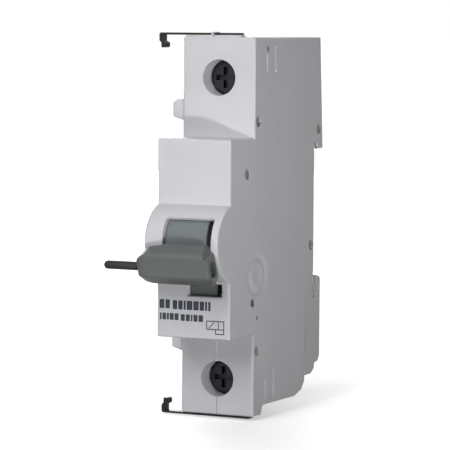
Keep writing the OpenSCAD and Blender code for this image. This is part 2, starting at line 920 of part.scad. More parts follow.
module contact_braid() {
  start = arm_at + turn([arm_half + blade_t + braid_d / 2 + 0.1, -5], -arm_rest);
  front = -coil_y - coil_d / 2 - braid_d / 2 - 0.05;
  color("chocolate") lead([
    [arm_x, start[0], start[1]],
    [arm_x - 1, start[0] + 1.4, start[1] + 1.2],
    [1, front - 2, start[1] + 4],
    [0, front - 1.6, coil_z1 - 3],
    [0, front - 0.6, coil_z1 - 1.2],
    [0, front, coil_z1 - flange_t / 2],
  ], braid_d);
}

module indicator_flag() {
  hub_r = flag_axle_d / 2 + 1;
  color([0.3, 0.3, 0.31]) difference() {
    union() {
      across(window_x0 - flag_over, flag_x1)
        translate(flag_at) intersection() {
          difference() {
            circle(flag_r);
            circle(flag_r - flag_t);
          }
          polygon([[0, 0], polar(far, 180 - flag_half), polar(far, 180 + flag_half)]);
        }
      across(flag_x0, flag_x1) {
        translate(flag_at) circle(hub_r);
        translate(flag_at + [eps - flag_r + flag_t / 2, -0.8]) square([flag_r - 1, 1.6]);
      }
    }
    bar_across(flag_at, flag_axle_d + 2 * fit, 0, half_w);
  }
}

module flag_axle() {
  reach = inner_x + axle_seat;
  color("silver") bar_across(flag_at, flag_axle_d, -reach, reach);
}

module trip_lever() {
  pad_at = [-coil_y, pad_top - trip_pad_r];
  color("cadetblue") difference() {
    across(-trip_t / 2, trip_t / 2) {
      translate(trip_at) circle(trip_hub_r);
      capsule(trip_at, trip_pin_at, trip_pin_d / 2 + 1);
      capsule(trip_at, pad_at, trip_pad_r);
    }
    bar_across(trip_at, trip_axle_d + 2 * fit, -half_w, half_w);
    bar_across(trip_pin_at, trip_pin_d + 2 * fit, -half_w, half_w);
  }
}

module trip_lever_axle() {
  reach = inner_x + axle_seat;
  color("silver") bar_across(trip_at, trip_axle_d, -reach, reach);
}

module trip_pin() {
  color("silver") bar_across(trip_pin_at, trip_pin_d, -half_w - trip_pin_out, inner_x - 0.4);
}

// Works of the solenoid stand on the coil's axis
module on_coil(z) {
  translate([0, -coil_y, z]) children();
}

module coil_bobbin() {
  tube_r = plunger_d / 2 + 0.1;
  color("ivory") on_coil(coil_z0) difference() {
    union() {
      translate([0, 0, 0.02]) cylinder(d = coil_d, h = flange_t);
      translate([0, 0, coil_h - flange_t - 0.02]) cylinder(d = coil_d, h = flange_t);
      translate([0, 0, 0.02]) cylinder(r = tube_r + tube_t, h = coil_h - 0.04);
    }
    translate([0, 0, -1]) cylinder(r = tube_r, h = coil_h + 2);
  }
}

module coil_winding() {
  tube_r = plunger_d / 2 + 0.1 + tube_t + 0.02;
  color("firebrick") on_coil(coil_z0 + flange_t + 0.05) difference() {
    cylinder(d = coil_d - 0.6, h = coil_h - 2 * flange_t - 0.1);
    translate([0, 0, -1]) cylinder(r = tube_r, h = coil_h);
  }
}

module solenoid_yoke() {
  front = coil_y + coil_d / 2;
  low = coil_z0 - yoke_t;
  high = coil_z1 + yoke_t;
  color("slategray") difference() {
    translate([-yoke_x, -front, low]) cube([2 * yoke_x, front - yoke_back, high - low]);
    translate([-far, -far - yoke_back - yoke_t, coil_z0]) cube([2 * far, far, coil_h]);
    on_coil(coil_z1 - 1) cylinder(r = plunger_d / 2 + 0.1, h = 5);
    on_coil(low - 1) cylinder(r = plunger_d / 2 + fit, h = 5);
  }
}

module fixed_core() {
  color("gray") on_coil(coil_z0 - yoke_t) difference() {
    cylinder(d = plunger_d, h = core_h);
    translate([0, 0, -1]) cylinder(r = rod_d / 2 + 0.1, h = core_h + 2);
  }
}

module plunger() {
  color("gray") on_coil(plunger_z0) difference() {
    union() {
      cylinder(d = plunger_d, h = cap_z - plunger_z0 + cap_t);
      translate([0, 0, cap_z - plunger_z0]) cylinder(d = cap_d, h = cap_t);
    }
    translate([0, 0, -1]) cylinder(r = rod_d / 2 + fit, h = 4);
  }
}

module push_rod() {
  color("goldenrod") on_coil(rod_tip) cylinder(d = rod_d, h = plunger_z0 - rod_tip + 2.9);
}

module plunger_spring() {
  r = (plunger_d / 2 + 0.1) / cos(180 / turn_rings) + plunger_spring_wire / 2;
  color("silver")
    on_coil(coil_z1 + yoke_t + 0.1)
      coil_spring(r, plunger_spring_wire, plunger_spring_len - 0.2, 3);
}

module coil_lead() {
  side = -bar_w / 2 + 0.6;
  bar_side = -bar_front - lead_d / 2 - 0.05;
  yoke_front = -coil_y - coil_d / 2;
  wound_r = coil_d / 2 - 0.3;
  end_x = -4;
  end_y = -coil_y - sqrt(wound_r ^ 2 - end_x ^ 2) - lead_d / 2 - 0.05;
  color("firebrick") lead([
    [side, bar_side, upper_z - bar_down + 1],
    [side, bar_side, upper_z - bar_down - 1],
    [end_x, yoke_front - 1.2, coil_z1 + yoke_t + 1.6],
    [end_x, yoke_front - 1.2, coil_z1 - 0.4],
    [end_x, yoke_front - 0.8, coil_z1 - 1.6],
    [end_x, end_y, coil_z1 - flange_t - 0.8],
  ], lead_d);
}

module terminal_cage(z) {
  color("silver") difference() {
    translate([-cage_w / 2, -cage_front, z - cage_h / 2])
      cube([cage_w, cage_front - cage_back, cage_h]);
    translate([cage_t - cage_w / 2, cage_front_t - cage_front, z - cage_h])
      cube([cage_w - 2 * cage_t, cage_front - cage_back - cage_front_t - cage_t, 2 * cage_h]);
    translate([0, 0, z]) rotate([90, 0, 0]) cylinder(d = screw_d + 2 * fit, h = far);
  }
}

module terminal_screw(z) {
  cross_w = 1.2;
  cross_l = head_d * 0.66;
  slot_deep = 1.3;
  head_front = term_face - head_deep;
  color("lightslategray") difference() {
    translate([0, -head_back, z]) {
      rotate([90, 0, 0]) cylinder(d = head_d, h = head_t);
      rotate([-90, 0, 0]) cylinder(d = screw_d, h = head_back - bar_front - 0.1);
    }
    translate([-cross_l / 2, -head_front - eps, z - cross_w / 2])
      cube([cross_l, slot_deep, cross_w]);
    translate([-cross_w / 2, -head_front - eps, z - cross_l / 2])
      cube([cross_w, slot_deep, cross_l]);
  }
}

module terminal_bar(z, s) {
  end_z = z - s * bar_down;
  top_z = z + s * bar_up;
  ear_z = s > 0 ? end_z : end_z - ear_h;
  color("peru") {
    translate([-bar_w / 2, -bar_front, min(end_z, top_z)])
      cube([bar_w, bar_t, bar_up + bar_down]);
    translate([0.1 - inner_x, -bar_front, ear_z]) cube([2 * inner_x - 0.2, bar_t, ear_h]);
  }
}

module upper_terminal_cage() {
  terminal_cage(upper_z);
}

module upper_terminal_screw() {
  terminal_screw(upper_z);
}

module upper_terminal_bar() {
  terminal_bar(upper_z, 1);
}

module lower_terminal_cage() {
  terminal_cage(-lower_z);
}

module lower_terminal_screw() {
  terminal_screw(-lower_z);
}

module lower_terminal_bar() {
  terminal_bar(-lower_z, -1);
}

left_housing();
right_housing();
housing_rivets();
din_clip();
din_clip_spring();
top_coupling_clip();
bottom_coupling_clip();
toggle();
toggle_axle();
coupling_pin();
toggle_spring();
toggle_link();
contact_arm();
contact_arm_axle();
moving_contact();
moving_contact_tip();
fixed_contact();
fixed_contact_tip();
contact_braid();
indicator_flag();
flag_axle();
trip_lever();
trip_lever_axle();
trip_pin();
coil_bobbin();
coil_winding();
solenoid_yoke();
fixed_core();
plunger();
push_rod();
plunger_spring();
coil_lead();
upper_terminal_cage();
upper_terminal_screw();
upper_terminal_bar();
lower_terminal_cage();
lower_terminal_screw();
lower_terminal_bar();
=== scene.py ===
import json
import math

import bmesh
import bpy
from mathutils import Matrix, Vector


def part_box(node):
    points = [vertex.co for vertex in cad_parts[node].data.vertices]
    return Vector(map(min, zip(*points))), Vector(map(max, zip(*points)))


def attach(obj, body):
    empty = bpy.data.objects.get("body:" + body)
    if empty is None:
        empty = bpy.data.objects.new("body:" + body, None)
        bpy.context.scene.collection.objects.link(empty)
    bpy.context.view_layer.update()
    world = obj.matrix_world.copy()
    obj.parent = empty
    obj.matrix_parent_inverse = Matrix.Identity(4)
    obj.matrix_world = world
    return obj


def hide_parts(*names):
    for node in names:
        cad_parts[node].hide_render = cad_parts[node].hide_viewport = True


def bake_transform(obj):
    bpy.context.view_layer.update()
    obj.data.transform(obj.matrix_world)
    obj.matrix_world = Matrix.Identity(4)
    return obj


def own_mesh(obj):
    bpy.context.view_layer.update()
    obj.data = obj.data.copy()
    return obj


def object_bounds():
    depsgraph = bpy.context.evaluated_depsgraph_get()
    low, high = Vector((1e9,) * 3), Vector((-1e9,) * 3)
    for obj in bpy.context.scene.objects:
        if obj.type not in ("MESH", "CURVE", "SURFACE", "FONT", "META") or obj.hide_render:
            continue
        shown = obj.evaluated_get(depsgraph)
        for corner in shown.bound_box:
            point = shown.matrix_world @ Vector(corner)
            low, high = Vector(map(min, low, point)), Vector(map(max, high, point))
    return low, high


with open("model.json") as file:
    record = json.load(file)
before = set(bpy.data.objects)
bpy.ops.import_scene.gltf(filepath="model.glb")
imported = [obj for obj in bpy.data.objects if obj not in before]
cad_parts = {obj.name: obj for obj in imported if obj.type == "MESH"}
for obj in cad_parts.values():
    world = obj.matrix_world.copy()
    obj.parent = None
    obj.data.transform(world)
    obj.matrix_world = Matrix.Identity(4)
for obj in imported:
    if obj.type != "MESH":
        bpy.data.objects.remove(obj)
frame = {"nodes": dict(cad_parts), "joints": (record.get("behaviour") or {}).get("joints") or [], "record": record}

cad_low, cad_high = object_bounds()
MM = 0.001
NODES = frame["nodes"]
JOINTS = {joint["name"]: joint for joint in frame["joints"]}
MOUNTS = {mount["name"]: mount for mount in frame["record"]["mounts"]}
SLOTS = {entry["node"]: entry["material_slot"] for entry in frame["record"]["subparts"]}


# Places on the part, in millimetres; a point of the side view is (y, z)

def in_side_view(place):
    return place["pos_m"][1] / MM, place["pos_m"][2] / MM


# From the frame
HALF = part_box("right_housing")[1].x / MM
SKIRT_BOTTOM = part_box("right_housing")[0].z / MM
HANDLE_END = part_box("toggle")[1].x / MM
HEAD_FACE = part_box("upper_terminal_screw")[0].y / MM
TOGGLE_AXIS = in_side_view(JOINTS["toggle_pivot"])
PIN_AXIS = in_side_view(MOUNTS["toggle_coupling_pin"])
SCREW_HEIGHTS = [in_side_view(JOINTS[name])[1] for name in ("upper_screw_turn", "lower_screw_turn")]

# As in the part's source
NOSE, TERM = -44.0, -32.0
NOSE_TOP, NOSE_BOTTOM = 20.0, -24.0
BODY_BOTTOM = -40.1
SEAT_END = -12.2
HOLE_R = 4.0
RIVETS = [(-30.3, 23.6), (-30.2, -27.6), (-35.7, 12.1), (-2.0, -5.7), (1.9, 21.1)]
RING, RING_R, RING_DEEP = (-29.9, -10.7), 5.4, 0.4
TEST_HOLE = (-32.59, -16.73)
VENT = (-30.19, -20.23)
DIMPLE = (-25.5, 39.7)
GROOVE_REARS, GROOVE_DEEP = (TERM + 6.5, TERM + 10.9), 0.5
DRUM_SIDES = (-4.3, 5.7)

# Boxes of the side view, (y0, y1, z0, z1), round what lies close to the housing's outline
UPPER_GROOVES, LOWER_GROOVES = (-27, -20.5, 33.5, 41), (-27, -20.5, -39.9, -32)
TRIP_SLOT = (-34.5, -30, -19.5, -13)
UPPER_LUG, LOWER_LUG = (-31.5, -28, 23, 29), (-31.5, -28, -29, -23)


# Camera, fitted to the photograph's edges

AZIMUTH, PITCH, ROLL = math.radians(26.51), math.radians(4.14), math.radians(0.39)


def place_camera():
    target = Vector((-14.21, 0.0, -2.18)) * MM
    distance = 648.86 * MM
    back = Vector((
        math.sin(AZIMUTH) * math.cos(PITCH),
        -math.cos(AZIMUTH) * math.cos(PITCH),
        math.sin(PITCH),
    ))
    right = Vector((math.cos(AZIMUTH), math.sin(AZIMUTH), 0.0))
    up = back.cross(right)
    x = math.cos(ROLL) * right + math.sin(ROLL) * up
    y = -math.sin(ROLL) * right + math.cos(ROLL) * up
    turn = Matrix((x, y, back)).transposed().to_4x4()
    data = bpy.data.cameras.new("camera")
    data.sensor_width = 36.0
    data.lens = 219.95
    data.clip_start = 0.01
    data.clip_end = 20.0
    camera = bpy.data.objects.new("camera", data)
    camera.matrix_world = Matrix.Translation(target + back * distance) @ turn
    bpy.context.scene.collection.objects.link(camera)
    bpy.context.scene.camera = camera


place_camera()


# Materials; a noise pattern is (scale, detail, roughness)

CLOUDS = (70, 4, 0.55)
SHEEN = (900, 2, 0.5)
GRAIN, GRAIN_DEEP = (5200, 2, 0.5), 0.03 * MM
FLOW, FLOW_DEEP = (260, 2, 0.4), 0.1 * MM
SCRATCHES, SCRATCH_DEEP = (2600, 3, 0.6), 0.02 * MM
TARNISH = (240, 3, 0.5)
PAPER = (6, 2, 0.5)


def map_range(tree, value, **ends):
    """A value stretched between ends such as from_max or to_min; those not named are 0 and 1."""
    node = tree.nodes.new("ShaderNodeMapRange")
    for key, end in ends.items():
        node.inputs[key.replace("_", " ").title()].default_value = end
    tree.links.new(value, node.inputs["Value"])
    return node.outputs["Result"]


class Shader:
    """One procedural material: a principled shader whose inputs come from noise in object space."""

    def __init__(self, name):
        self.material = bpy.data.materials.new(name)
        self.material.use_nodes = True
        self.tree = self.material.node_tree
        self.nodes = self.tree.nodes
        self.bsdf = self.nodes["Principled BSDF"]
        self.coord = self.add("ShaderNodeTexCoord")

    def add(self, kind, **values):
        node = self.nodes.new(kind)
        for key, value in values.items():
            setattr(node, key, value)
        return node

    def link(self, out, into):
        self.tree.links.new(out, into)

    def set(self, **values):
        for key, value in values.items():
            self.bsdf.inputs[key.replace("_", " ")].default_value = value

    def scaled(self, scale):
        """Object coordinates, with each axis scaled."""
        node = self.add("ShaderNodeMapping")
        node.inputs["Scale"].default_value = scale
        self.link(self.coord.outputs["Object"], node.inputs["Vector"])
        return node.outputs["Vector"]

    def noise(self, pattern):
        node = self.add("ShaderNodeTexNoise")
        for key, value in zip(("Scale", "Detail", "Roughness"), pattern):
            node.inputs[key].default_value = value
        self.link(self.coord.outputs["Object"], node.inputs["Vector"])
        return node.outputs["Fac"]

    def ramp(self, value, stops):
        node = self.add("ShaderNodeValToRGB")
        ramp = node.color_ramp
        for element, (place, colour) in zip(ramp.elements, (stops[0], stops[-1])):
            element.position = place
            element.color = (*colour, 1)
        for place, colour in stops[1:-1]:
            ramp.elements.new(place).color = (*colour, 1)
        self.link(value, node.inputs["Fac"])
        return node.outputs["Color"]

    def colour(self, value):
        self.link(value, self.bsdf.inputs["Base Color"])

    def roughness(self, value, low, high):
        self.link(map_range(self.tree, value, to_min=low, to_max=high), self.bsdf.inputs["Roughness"])

    def bump(self, *heights):
        normal = None
        for value, strength, depth in heights:
            node = self.add("ShaderNodeBump")
            node.inputs["Strength"].default_value = strength
            node.inputs["Distance"].default_value = depth
            self.link(value, node.inputs["Height"])
            if normal is not None:
                self.link(normal, node.inputs["Normal"])
            normal = node.outputs["Normal"]
        self.link(normal, self.bsdf.inputs["Normal"])

    def moulded_surface(self, low, high, grain, specular):
        """A fine spark-eroded grain and faint flow marks, between two roughnesses."""
        flow = 0.03
        self.roughness(self.noise(SHEEN), low, high)
        self.bump((self.noise(GRAIN), grain, GRAIN_DEEP), (self.noise(FLOW), flow, FLOW_DEEP))
        self.set(Specular_IOR_Level=specular)


def tint(colour, share):
    return tuple(min(1.0, c * share) for c in colour)


def grey(level):
    return (level, level, level)


def moulded(name, colour, low=0.42, high=0.55, grain=0.12, specular=0.4):
    """Moulded plastic of one colour, slightly clouded."""
    s = Shader(name)
    s.colour(s.ramp(s.noise(CLOUDS), [(0.3, tint(colour, 0.965)), (0.7, tint(colour, 1.02))]))
    s.moulded_surface(low, high, grain, specular)
    return s.material


def toggle_plastic(painted_light_drum, handle, painted_highlight):
    """The toggle's plastic: the drum is painted paler and bluer as painted light, and the handle's front is
    painted paler than its top as a painted highlight.
    """
    drum_edge, handle_front = 8.0 * MM, 15.0 * MM
    s = Shader("toggle_plastic")
    reach = s.add("ShaderNodeVectorMath", operation="DISTANCE")
    reach.inputs[1].default_value = (0, TOGGLE_AXIS[0] * MM, TOGGLE_AXIS[1] * MM)
    s.link(s.scaled((0, 1, 1)), reach.inputs[0])
    share = map_range(s.tree, reach.outputs["Value"], from_min=drum_edge, from_max=handle_front)
    # From the drum's edge to the handle's front: painted light on the drum, the handle's own colour, then a
    # painted highlight on its front
    tone_with_painted_light = s.ramp(share, [(0.0, painted_light_drum), (0.14, handle), (0.76, handle), (0.89, painted_highlight)])
    clouds = s.ramp(s.noise(CLOUDS), [(0.3, grey(0.93)), (0.7, grey(1.0))])
    mix = s.add("ShaderNodeMix", data_type="RGBA", blend_type="MULTIPLY")
    mix.inputs["Factor"].default_value = 1.0
    s.link(tone_with_painted_light, mix.inputs["A"])
    s.link(clouds, mix.inputs["B"])
    s.colour(mix.outputs["Result"])
    s.moulded_surface(low=0.38, high=0.5, grain=0.12, specular=0.2)
    return s.material


def metal(name, colour, low, high):
    """Plated or bare metal, unevenly tarnished and finely scratched."""
    s = Shader(name)
    scratches, strength = s.noise(SCRATCHES), 0.1
    s.colour(s.ramp(s.noise(TARNISH), [(0.25, tint(colour, 0.86)), (0.75, tint(colour, 1.08))]))
    s.roughness(scratches, low, high)
    s.bump((scratches, strength, SCRATCH_DEEP))
    s.set(Metallic=1.0)
    return s.material


SLOT_LOOKS = {
    "housing": moulded("housing_plastic", (0.70, 0.693, 0.728), 0.36, 0.48, specular=0.32),
    "rail_clip": moulded("rail_clip_plastic", (0.69, 0.686, 0.70)),
    # The toggle's drum colour and handle-front colour are painted light; the middle colour is the handle's own
    "toggle": toggle_plastic((0.200, 0.221, 0.233), (0.136, 0.151, 0.148), (0.186, 0.207, 0.203)),
    "flag": moulded("flag_plastic", (0.13, 0.145, 0.14), 0.5, 0.6),
    "black_spring_steel": metal("blackened_steel", (0.035, 0.034, 0.033), 0.36, 0.55),
    "dark_steel": metal("dark_steel", (0.12, 0.12, 0.12), 0.35, 0.5),
    "steel": metal("steel", (0.56, 0.56, 0.57), 0.25, 0.42),
    "spring_wire": metal("spring_wire", (0.6, 0.6, 0.6), 0.2, 0.35),
    "zinc": metal("zinc_plate", (0.42, 0.43, 0.44), 0.3, 0.5),
    "copper": metal("copper", (0.72, 0.40, 0.24), 0.28, 0.45),
    "silver_contact": metal("silver_contact", (0.82, 0.81, 0.78), 0.25, 0.4),
    "inner_plastic": moulded("inner_plastic", (0.20, 0.11, 0.07), 0.45, 0.6),
    "bobbin": moulded("bobbin_plastic", (0.74, 0.70, 0.60), 0.4, 0.55),
    "enamel_wire": metal("enamel_wire", (0.42, 0.10, 0.04), 0.25, 0.4),
    "brass": metal("brass", (0.72, 0.52, 0.20), 0.25, 0.4),
}
# Painted shade: the terminal screws are drawn near-black for the shade deep in their holes
SHADED_SCREW = metal("screw_painted_dark_for_shade", (0.037, 0.039, 0.042), 0.4, 0.6)
OWN_LOOKS = {
    "upper_terminal_screw": SHADED_SCREW,
    "lower_terminal_screw": SHADED_SCREW,
    "housing_rivets": metal("dull_rivet", (0.22, 0.22, 0.226), 0.6, 0.75),
    "coupling_pin": metal("blackened_pin", (0.042, 0.042, 0.043), 0.45, 0.6),
}
# One dark colour for the print and for the painted shade in the parting line
INK_AND_PAINTED_SHADE = moulded("printing_ink_and_painted_shade", (0.040, 0.045, 0.062), 0.5, 0.65, 0.05)
# Painted shade in the right side's small holes: darker in the test hole, paler in the vent and the dimple
DEEP_HOLE_SHADE = moulded("painted_hole_shade", (0.075, 0.078, 0.084), 0.5, 0.65)
PALE_HOLE_SHADE = moulded("painted_pale_hole_shade", (0.24, 0.24, 0.25), 0.5, 0.65)

for name, slot in SLOTS.items():
    NODES[name].material_slots[0].material = OWN_LOOKS.get(name) or SLOT_LOOKS[slot]


# Softened copies of the visible pieces: the same faces, with their edges rounded

SHARP, SMOOTH = math.radians(35), math.radians(38)


def sharp(edge):
    return len(edge.link_faces) == 2 and edge.calc_face_angle(0.0) > SHARP


def at(edge, axis, *values, tolerance=0.02):
    """True where both ends of an edge have one of these coordinates, in millimetres."""
    return any(all(abs(v.co[axis] / MM - value) < tolerance for v in edge.verts) for value in values)


def middle(edge):
    return (edge.verts[0].co + edge.verts[1].co) / (2 * MM)


def near(edge, spot, radius):
    """True where an edge's middle is close to a point of the side view."""
    m = middle(edge)
    return math.hypot(m.y - spot[0], m.z - spot[1]) < radius


def within(point, *boxes):
    """True where a point in millimetres lies in one of these boxes of the side view."""
    return any(y0 < point.y < y1 and z0 < point.z < z1 for y0, y1, z0, z1 in boxes)


def from_screw(edge):
    """Distance of an edge's middle from the nearer terminal screw's axis."""
    m = middle(edge)
    return min(math.hypot(m.x, m.z - height) for height in SCREW_HEIGHTS)


def add_piece(name, bm, look):
    """Makes an object of a bmesh, which it frees."""
    mesh = bpy.data.meshes.new(name)
    bm.to_mesh(mesh)
    bm.free()
    mesh.materials.append(look)
    piece = bpy.data.objects.new(name, mesh)
    bpy.context.scene.collection.objects.link(piece)
    return piece


def shade(mesh):
    mesh.shade_smooth()
    mesh.set_sharp_from_angle(angle=SMOOTH)


def keep_flats(mesh):
    """Gives the corners of each large flat face that face's own normal, and lets the roundings
    beside it run out to it."""
    large, rival, level = 6 * MM * MM, 0.3, math.radians(0.5)
    at_edge, at_vert = {}, {}
    for p in mesh.polygons:
        for key in p.edge_keys:
            at_edge.setdefault(key, []).append(p)
        for v in p.vertices:
            at_vert.setdefault(v, []).append(p)

    def turned(p, q):
        return p.normal.angle(q.normal, 0.0)

    def flat(p):
        beside = [q for key in p.edge_keys for q in at_edge[key] if q.index != p.index]
        return p.area > large and not any(
            q.area > rival * p.area and level < turned(p, q) < SMOOTH for q in beside)

    flats = {p.index for p in mesh.polygons if flat(p)}
    normals = []
    for p in mesh.polygons:
        for v in p.vertices:
            beside = [q for q in at_vert[v] if turned(p, q) < SMOOTH]
            wide = [p] if p.index in flats else [q for q in beside if q.index in flats]
            total = sum((q.normal * q.area for q in wide or beside), Vector())
            normals.append(total.normalized())
    mesh.normals_split_custom_set(normals)


def soften(node, body, passes, shape=None):
    """Replaces a CAD node by a copy that is shaped and then rounded at chosen edges; a pass is (test, radius,
    segments). A copy with no body is attached to nothing."""
    bm = bmesh.new()
    bm.from_mesh(NODES[node].data)
    bmesh.ops.remove_doubles(bm, verts=bm.verts, dist=1e-7)
    bmesh.ops.dissolve_limit(bm, angle_limit=math.radians(0.3), verts=bm.verts, edges=bm.edges)
    if shape:
        shape(bm)
    for test, radius, segments in passes:
        edges = [e for e in bm.edges if sharp(e) and test(e)]
        if edges:
            bmesh.ops.bevel(
                bm, geom=edges, offset=radius * MM, segments=segments, profile=0.5,
                affect="EDGES", offset_type="OFFSET", clamp_overlap=False)
    bmesh.ops.remove_doubles(bm, verts=bm.verts, dist=1e-6)
    piece = add_piece(node + "_skin", bm, NODES[node].material_slots[0].material)
    shade(piece.data)
    if passes:
        keep_flats(piece.data)
    if body:
        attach(piece, body)
    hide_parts(node)
    return piece


# Housing

def underside_rim(e):
    """The lower edge of the right side, which passes close to the grooves."""
    front, rear = -28, -9
    return at(e, 0, HALF) and at(e, 2, BODY_BOTTOM) and front < middle(e).y < rear


def on_outline(x):
    """Edges of the outline of one side, without what is sunk into that side or stands on it."""
    rivet_room, ring_room, hole_room = 2.2, 6.0, 1.5
    spots = [(spot, rivet_room) for spot in RIVETS]
    boxes = [TRIP_SLOT, UPPER_LUG, LOWER_LUG]
    if x > 0:
        spots += [(RING, ring_room), (TEST_HOLE, hole_room), (VENT, hole_room)]
        boxes = [UPPER_GROOVES, LOWER_GROOVES]

    def test(e):
        if not at(e, 0, x) or at(e, 2, SEAT_END) or underside_rim(e):
            return False
        return not any(near(e, spot, room) for spot, room in spots) and not within(middle(e), *boxes)
    return test


def front_rims(e):
    """Long front edges that run across the module."""
    long = e.calc_length() > 2 * MM
    nose = at(e, 1, NOSE) and at(e, 2, NOSE_TOP, NOSE_BOTTOM)
    skirt = at(e, 1, TERM) and at(e, 2, SKIRT_BOTTOM)
    return long and (nose or skirt)


def small_rims(e):
    """Rims of the screwdriver holes and the window."""
    left, right, bottom, top = -2, 7.5, -15, -11.5
    slack = 0.2
    m = middle(e)
    hole = at(e, 1, TERM) and abs(from_screw(e) - HOLE_R) < slack
    window = at(e, 1, NOSE) and left < m.x < right and bottom < m.z < top
    return hole or window


def lower_seam(e):
    """The parting line below the nose."""
    return at(e, 0, 0.0) and at(e, 1, TERM) and middle(e).z < NOSE_BOTTOM


def dish_ring(bm):
    """Draws the ring groove in the right side with soft slopes, round a slightly dished disc."""
    slack = 0.02
    # Distance from the ring's centre and depth, from the rim inwards
    profile = [
        (5.0, 0.16), (4.6, 0.37), (4.25, 0.51), (3.95, 0.55), (3.65, 0.49), (3.3, 0.30),
        (3.0, 0.13), (2.7, 0.06), (2.4, 0.10), (1.9, 0.23), (1.2, 0.36), (0.6, 0.42)]

    def from_centre(v):
        return v.co.y / MM - RING[0], v.co.z / MM - RING[1]

    def inside(v):
        return math.hypot(*from_centre(v)) < RING_R + slack and v.co.x / MM > HALF - RING_DEEP - slack

    def turn(v):
        y, z = from_centre(v)
        return math.atan2(z, y)

    old = [f for f in bm.faces if all(inside(v) for v in f.verts)]
    bmesh.ops.delete(bm, geom=old, context="FACES")
    outer = [v for v in bm.verts if inside(v) and any(len(e.link_faces) == 1 for e in v.link_edges)]
    outer.sort(key=turn)
    turns = [turn(v) for v in outer]
    for out, deep in profile:
        inner = []
        for a in turns:
            y, z = RING[0] + out * math.cos(a), RING[1] + out * math.sin(a)
            inner.append(bm.verts.new(((HALF - deep) * MM, y * MM, z * MM)))
        for i in range(len(turns)):
            j = (i + 1) % len(turns)
            bm.faces.new((outer[i], outer[j], inner[j], inner[i]))
        outer = inner
    bm.faces.new(outer)


def slope_grooves(bm):
    """Leans the rear walls of the four upright grooves outwards, so that they catch the light."""
    slack = 0.01
    for v in bm.verts:
        point = v.co / MM
        on_floor = abs(point.x - (HALF - GROOVE_DEEP)) < slack
        at_rear = any(abs(point.y - rear) < slack for rear in GROOVE_REARS)
        if on_floor and at_rear and within(point, UPPER_GROOVES, LOWER_GROOVES):
            v.co.y -= GROOVE_DEEP * MM


def right_side(bm):
    dish_ring(bm)
    slope_grooves(bm)


for side, x, shape in (("left_housing", -HALF, None), ("right_housing", HALF, right_side)):
    soften(side, "housing", [
        (on_outline(x), 0.5, 3),
        (front_rims, 0.4, 3),
        (underside_rim, 0.3, 2),
        (small_rims, 0.18, 2),
        (lower_seam, 0.12, 1),
    ], shape)


# Toggle

def dome_left_end(bm):
    """Draws the handle's left end in towards its middle, as a quarter ellipse with a flat tip; the
    pin's hole stays as it is."""
    length, share, steps, hole_r = 2.8, 0.36, 7, 0.9
    centre = Vector((0, -51.1, -9.2)) * MM
    for i in range(steps):
        place = (length * (1 - math.sin(math.radians(90 * i / steps))) - HANDLE_END) * MM
        bmesh.ops.bisect_plane(
            bm, geom=bm.verts[:] + bm.edges[:] + bm.faces[:], dist=1e-9,
            plane_co=(place, 0, 0), plane_no=(1, 0, 0))
    for v in bm.verts:
        depth = (length - HANDLE_END - v.co.x / MM) / length
        out = math.hypot(v.co.y / MM - PIN_AXIS[0], v.co.z / MM - PIN_AXIS[1])
        if depth <= 0 or out < hole_r:
            continue
        scale = 1 - share * (1 - math.sqrt(max(0.0, 1 - depth * depth)))
        v.co.y = centre.y + (v.co.y - centre.y) * scale
        v.co.z = centre.z + (v.co.z - centre.z) * scale


def by_pin(e):
    """Edges in line with the pin, such as those of the small hole in the handle's right end."""
    room = 2.1
    return near(e, PIN_AXIS, room)


def handle_rim(e):
    return at(e, 0, HANDLE_END) and not by_pin(e)


def hole_rim(e):
    return at(e, 0, HANDLE_END) and by_pin(e)


def drum_rim(e):
    inner, outer = 6.0, 8.2
    return at(e, 0, *DRUM_SIDES) and near(e, TOGGLE_AXIS, outer) and not near(e, TOGGLE_AXIS, inner)


soften("toggle", "toggle", [
    (handle_rim, 0.85, 4),
    (hole_rim, 0.15, 2),
    (drum_rim, 0.25, 2),
], dome_left_end)


# Rail clip, pin, rivets, coupling clips and terminal screws

def clip_rims(e):
    """The rail clip's longer edges, except where it meets the rail."""
    shortest = 2.2 * MM
    return e.calc_length() > shortest and not at(e, 2, SEAT_END, tolerance=0.1)


def rivet_rims(e):
    """The outer edges of the rivets' heads."""
    head = 0.4
    return abs(middle(e).x) > HALF - head


def every_edge(e):
    return True


def head_rim(e):
    """The outer edge of a screw's head, without those of its drive."""
    drive_r = 3.0
    return at(e, 1, HEAD_FACE) and from_screw(e) > drive_r


soften("din_clip", "rail_clip", [(clip_rims, 0.25, 2)])
soften("coupling_pin", "toggle", [])
soften("housing_rivets", "housing", [(rivet_rims, 0.3, 3)])
for name in ("top_coupling_clip", "bottom_coupling_clip"):
    soften(name, "housing", [(every_edge, 0.1, 2)])
for name, body in (("upper_terminal_screw", "upper_screw"), ("lower_terminal_screw", "lower_screw")):
    soften(name, body, [(head_rim, 0.35, 3)])


# Springs and the braid, copied as they are

def press(node):
    """A copy of a spring along z, on a mesh of its own."""
    piece = soften(node, "housing", [])
    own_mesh(piece)


def bend_braid():
    """A copy of the braid, attached to nothing, with its placement baked into its mesh."""
    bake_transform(soften("contact_braid", None, []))


press("plunger_spring")
press("din_clip_spring")
bend_braid()


# Printed marks: plain bars and a coil sign, with no lettering, and a dark sheet of painted shade in the parting
# line; an outline is a list of (x, z)

INK_FRONT, INK_BACK = NOSE - 0.012, NOSE + 0.02
SHADE_FRONT, SHADE_BACK = TERM + 0.03, TERM + 0.3


def bar(x0, x1, z0, z1):
    """A bar with small cut corners."""
    cut = 0.12 * min(x1 - x0, z1 - z0)
    return [
        (x0 + cut, z0), (x1 - cut, z0), (x1, z0 + cut), (x1, z1 - cut),
        (x1 - cut, z1), (x0 + cut, z1), (x0, z1 - cut), (x0, z0 + cut)]


